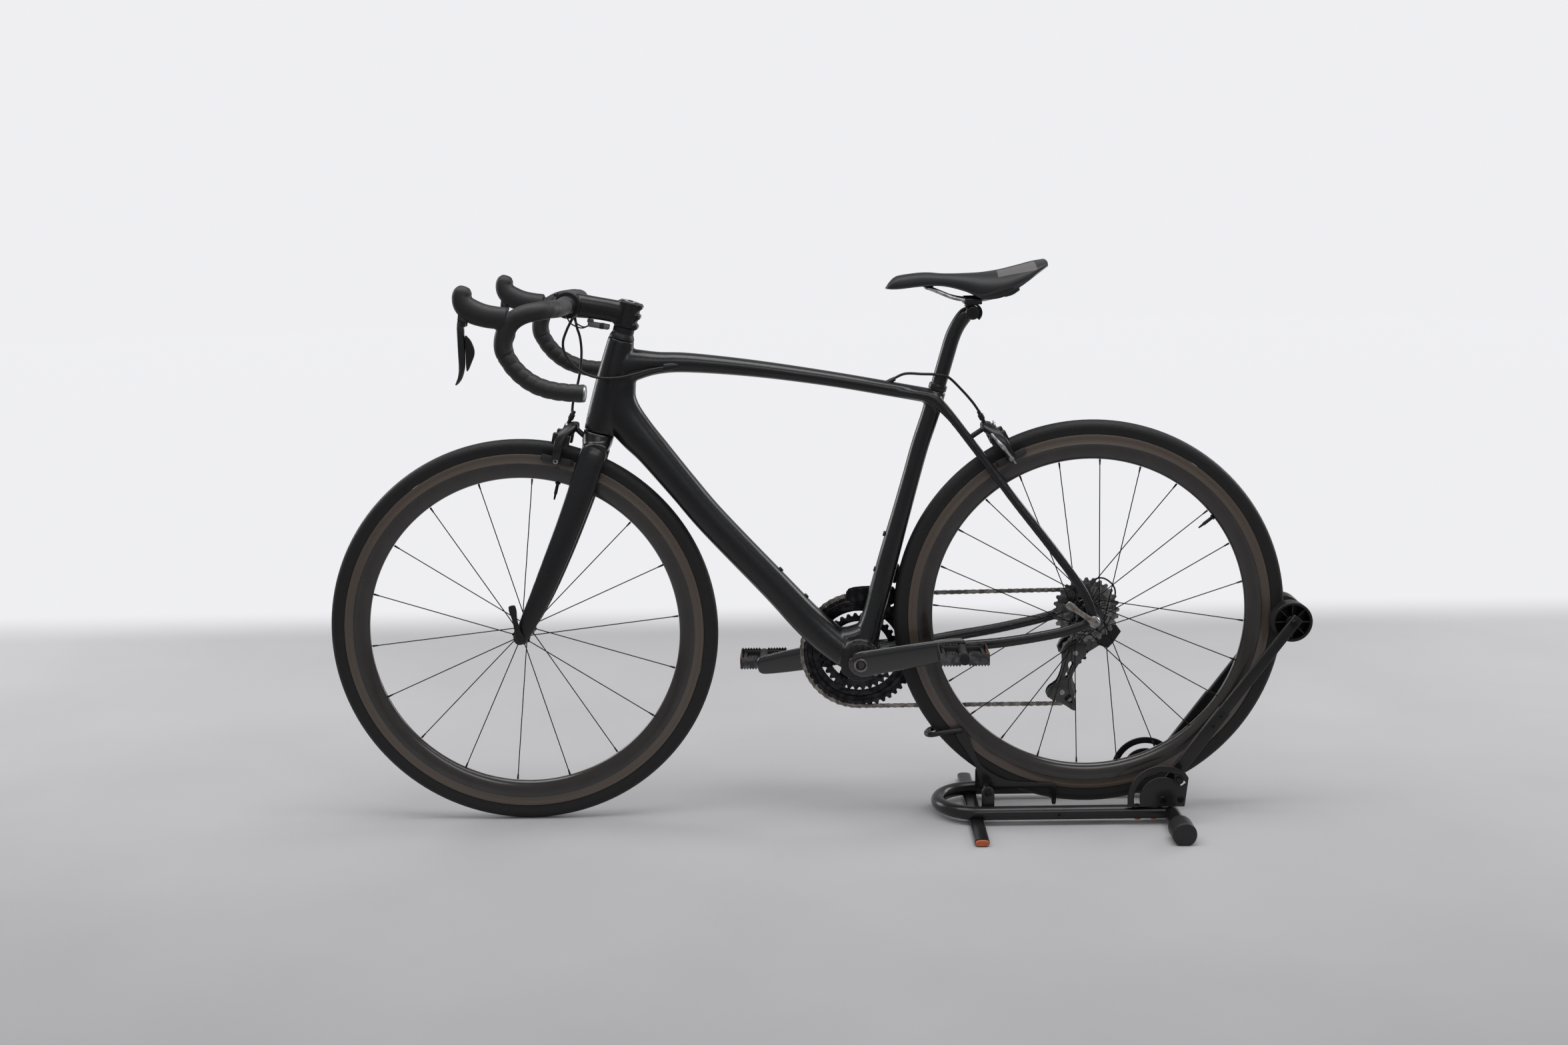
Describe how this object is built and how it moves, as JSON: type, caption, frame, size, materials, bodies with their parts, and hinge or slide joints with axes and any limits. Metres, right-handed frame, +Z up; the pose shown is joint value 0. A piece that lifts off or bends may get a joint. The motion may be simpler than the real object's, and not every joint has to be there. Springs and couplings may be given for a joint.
{
  "type": "bicycle on stand",
  "caption": "Drop-bar road bicycle with deep rims, held upright by its rear wheel in a tubular floor stand with a tilting cradle and a roller arm.",
  "frame": {"origin": "centre of the bounding box on the floor", "axes": "+X towards the rear wheel and stand, +Y to the drive side, +Z up"},
  "size_m": [1.6888, 0.461, 0.9635],
  "materials": {
    "frame_carbon": "satin",
    "rim_carbon": "gloss",
    "tyre_rubber": "matte",
    "spoke_steel": "satin",
    "gloss_black": "gloss",
    "bar_tape": "satin",
    "hood_rubber": "matte",
    "polished_metal": "polished",
    "chain_metal": "satin",
    "saddle_cover": "satin",
    "powder_coat": "satin",
    "black_plastic": "matte"
  },
  "bodies": {
    "stand": {"stand_base": "powder_coat", "stand_foot_left": "hood_rubber", "stand_foot_right": "hood_rubber", "stand_bracket_left": "powder_coat", "stand_bracket_right": "powder_coat"},
    "stand_arm": {"stand_arm": "powder_coat"},
    "rollers": {"stand_roller_left": "black_plastic", "stand_roller_right": "black_plastic"},
    "cradle": {"stand_cradle": "powder_coat"},
    "frame": {"frame": "frame_carbon", "seat_collar": "black_plastic", "chain": "chain_metal", "front_derailleur": "gloss_black", "front_cage": "polished_metal", "derailleur_body": "black_plastic", "derailleur_cage": "gloss_black", "rear_cable_back": "black_plastic"},
    "seat_post": {"seat_post": "frame_carbon"},
    "saddle": {"saddle_clamp": "black_plastic", "saddle_pad": "saddle_cover", "saddle_base": "black_plastic", "saddle_rails": "polished_metal"},
    "steering": {"fork": "frame_carbon", "headset_spacers": "black_plastic", "stem": "gloss_black", "handlebar": "black_plastic", "bar_tape_left": "bar_tape", "bar_tape_right": "bar_tape", "hood_left": "hood_rubber", "hood_right": "hood_rubber", "junction_box": "black_plastic", "front_cable": "black_plastic", "rear_cable_front": "black_plastic"},
    "lever_left": {"brake_lever_left": "gloss_black"},
    "lever_right": {"brake_lever_right": "gloss_black"},
    "paddle_left": {"shift_paddle_left": "gloss_black"},
    "paddle_right": {"shift_paddle_right": "gloss_black"},
    "front_brake_left": {"front_brake_arm_left": "gloss_black"},
    "front_brake_right": {"front_brake_arm_right": "gloss_black"},
    "rear_brake_left": {"rear_brake_arm_left": "gloss_black"},
    "rear_brake_right": {"rear_brake_arm_right": "gloss_black"},
    "front_wheel": {"front_tyre": "tyre_rubber", "front_rim": "rim_carbon", "front_hub": "gloss_black", "front_spokes": "spoke_steel"},
    "front_release": {"front_quick_release": "black_plastic"},
    "rear_wheel": {"rear_tyre": "tyre_rubber", "rear_rim": "rim_carbon", "rear_hub": "gloss_black", "rear_spokes": "spoke_steel"},
    "rear_release": {"rear_quick_release": "polished_metal"},
    "cassette": {"cassette": "chain_metal"},
    "crank": {"crank_arm_left": "gloss_black", "crank_arm_right": "gloss_black", "chain_rings": "chain_metal"},
    "pedal_left": {"pedal_left": "black_plastic"},
    "pedal_right": {"pedal_right": "black_plastic"},
    "jockey_guide": {"jockey_guide": "black_plastic"},
    "jockey_tension": {"jockey_tension": "black_plastic"}
  },
  "joints": [
    {"name": "bike_lift_off", "type": "slide", "parent": "stand", "child": "frame", "axis": [0, 0, 1], "range_m": [0, 0.1]},
    {"name": "stand_arm_release", "type": "hinge", "parent": "stand", "child": "stand_arm", "pos_m": [0.588, 0, 0.046], "axis": [0, 1, 0], "range_deg": [0, 10], "stiffness_Nm_per_rad": 6, "springref_deg": -34.38},
    {"name": "roller_spin", "type": "hinge", "parent": "stand_arm", "child": "rollers", "pos_m": [0.8115, 0, 0.344], "axis": [0, 1, 0], "continuous": true},
    {"name": "cradle_tilt", "type": "hinge", "parent": "stand", "child": "cradle", "pos_m": [0.292, 0, 0.054], "axis": [0, -1, 0], "range_deg": [0, 10]},
    {"name": "steering", "type": "hinge", "parent": "frame", "child": "steering", "pos_m": [-0.32, 0, 0.849], "axis": [0.2622, 0, 0.965], "range_deg": [-40, 40], "deforming": ["rear_cable_front"]},
    {"name": "seat_height", "type": "slide", "parent": "frame", "child": "seat_post", "axis": [0.2807, 0, 0.9598], "range_m": [-0.05, 0.04]},
    {"name": "saddle_tilt", "type": "hinge", "parent": "seat_post", "child": "saddle", "pos_m": [0.27, 0, 0.876], "axis": [0, 1, 0], "range_deg": [-5, 5]},
    {"name": "left_brake_lever", "type": "hinge", "parent": "steering", "child": "lever_left", "pos_m": [-0.556, -0.213, 0.885], "axis": [0, -1, 0], "range_deg": [0, 20], "stiffness_Nm_per_rad": 0.4, "springref_deg": -11.46},
    {"name": "right_brake_lever", "type": "hinge", "parent": "steering", "child": "lever_right", "pos_m": [-0.556, 0.213, 0.885], "axis": [0, -1, 0], "range_deg": [0, 20], "stiffness_Nm_per_rad": 0.4, "springref_deg": -11.46},
    {"name": "left_shift_buttons", "type": "hinge", "parent": "lever_left", "child": "paddle_left", "pos_m": [-0.5485, -0.213, 0.84], "axis": [0, 0, -1], "range_deg": [0, 5], "stiffness_Nm_per_rad": 0.3},
    {"name": "right_shift_buttons", "type": "hinge", "parent": "lever_right", "child": "paddle_right", "pos_m": [-0.5485, 0.213, 0.84], "axis": [0, 0, 1], "range_deg": [0, 5], "stiffness_Nm_per_rad": 0.3},
    {"name": "front_brake_left_arm", "type": "hinge", "parent": "steering", "child": "front_brake_left", "pos_m": [-0.408, -0.0085, 0.693], "axis": [1, 0, 0], "range_deg": [0, 1.6]},
    {"name": "front_brake_right_arm", "type": "hinge", "parent": "steering", "child": "front_brake_right", "pos_m": [-0.408, 0.0085, 0.693], "axis": [-1, 0, 0], "range_deg": [0, 1.6]},
    {"name": "rear_brake_left_arm", "type": "hinge", "parent": "frame", "child": "rear_brake_left", "pos_m": [0.296, -0.0085, 0.683], "axis": [1, 0, 0], "range_deg": [0, 1.6]},
    {"name": "rear_brake_right_arm", "type": "hinge", "parent": "frame", "child": "rear_brake_right", "pos_m": [0.296, 0.0085, 0.683], "axis": [-1, 0, 0], "range_deg": [0, 1.6]},
    {"name": "front_wheel_spin", "type": "hinge", "parent": "steering", "child": "front_wheel", "pos_m": [-0.5063, 0, 0.3365], "axis": [0, -1, 0], "continuous": true},
    {"name": "front_release_lever", "type": "hinge", "parent": "steering", "child": "front_release", "pos_m": [-0.5063, -0.066, 0.3385], "axis": [0.9835, 0, 0.1807], "range_deg": [0, 180]},
    {"name": "rear_wheel_spin", "type": "hinge", "parent": "frame", "child": "rear_wheel", "pos_m": [0.4704, 0, 0.355], "axis": [0, -1, 0], "continuous": true},
    {"name": "rear_release_lever", "type": "hinge", "parent": "frame", "child": "rear_release", "pos_m": [0.4704, -0.08, 0.355], "axis": [0.5821, 0, 0.8131], "range_deg": [0, 180]},
    {"name": "crank_spin", "type": "hinge", "parent": "frame", "child": "crank", "pos_m": [0.075, 0, 0.283], "axis": [0, -1, 0], "continuous": true},
    {"name": "cassette_spin", "type": "hinge", "parent": "frame", "child": "cassette", "pos_m": [0.4704, 0, 0.355], "axis": [0, -1, 0], "continuous": true},
    {"name": "jockey_guide_spin", "type": "hinge", "parent": "frame", "child": "jockey_guide", "pos_m": [0.455, 0, 0.275], "axis": [0, -1, 0], "continuous": true},
    {"name": "jockey_tension_spin", "type": "hinge", "parent": "frame", "child": "jockey_tension", "pos_m": [0.432, 0, 0.204], "axis": [0, -1, 0], "continuous": true},
    {"name": "left_pedal_spin", "type": "hinge", "parent": "crank", "child": "pedal_left", "pos_m": [0.24488, -0.118, 0.31295], "axis": [0, -1, 0], "continuous": true},
    {"name": "right_pedal_spin", "type": "hinge", "parent": "crank", "child": "pedal_right", "pos_m": [-0.09488, 0.118, 0.25305], "axis": [0, -1, 0], "continuous": true}
  ],
  "couplings": [
    {"joint": "front_brake_left_arm", "follows": "left_brake_lever", "ratio": 0.08},
    {"joint": "front_brake_right_arm", "follows": "left_brake_lever", "ratio": 0.08},
    {"joint": "rear_brake_left_arm", "follows": "right_brake_lever", "ratio": 0.08},
    {"joint": "rear_brake_right_arm", "follows": "right_brake_lever", "ratio": 0.08},
    {"joint": "cassette_spin", "follows": "crank_spin", "ratio": 3.125},
    {"joint": "jockey_guide_spin", "follows": "crank_spin", "ratio": -4.5454},
    {"joint": "jockey_tension_spin", "follows": "crank_spin", "ratio": 4.5454}
  ]
}
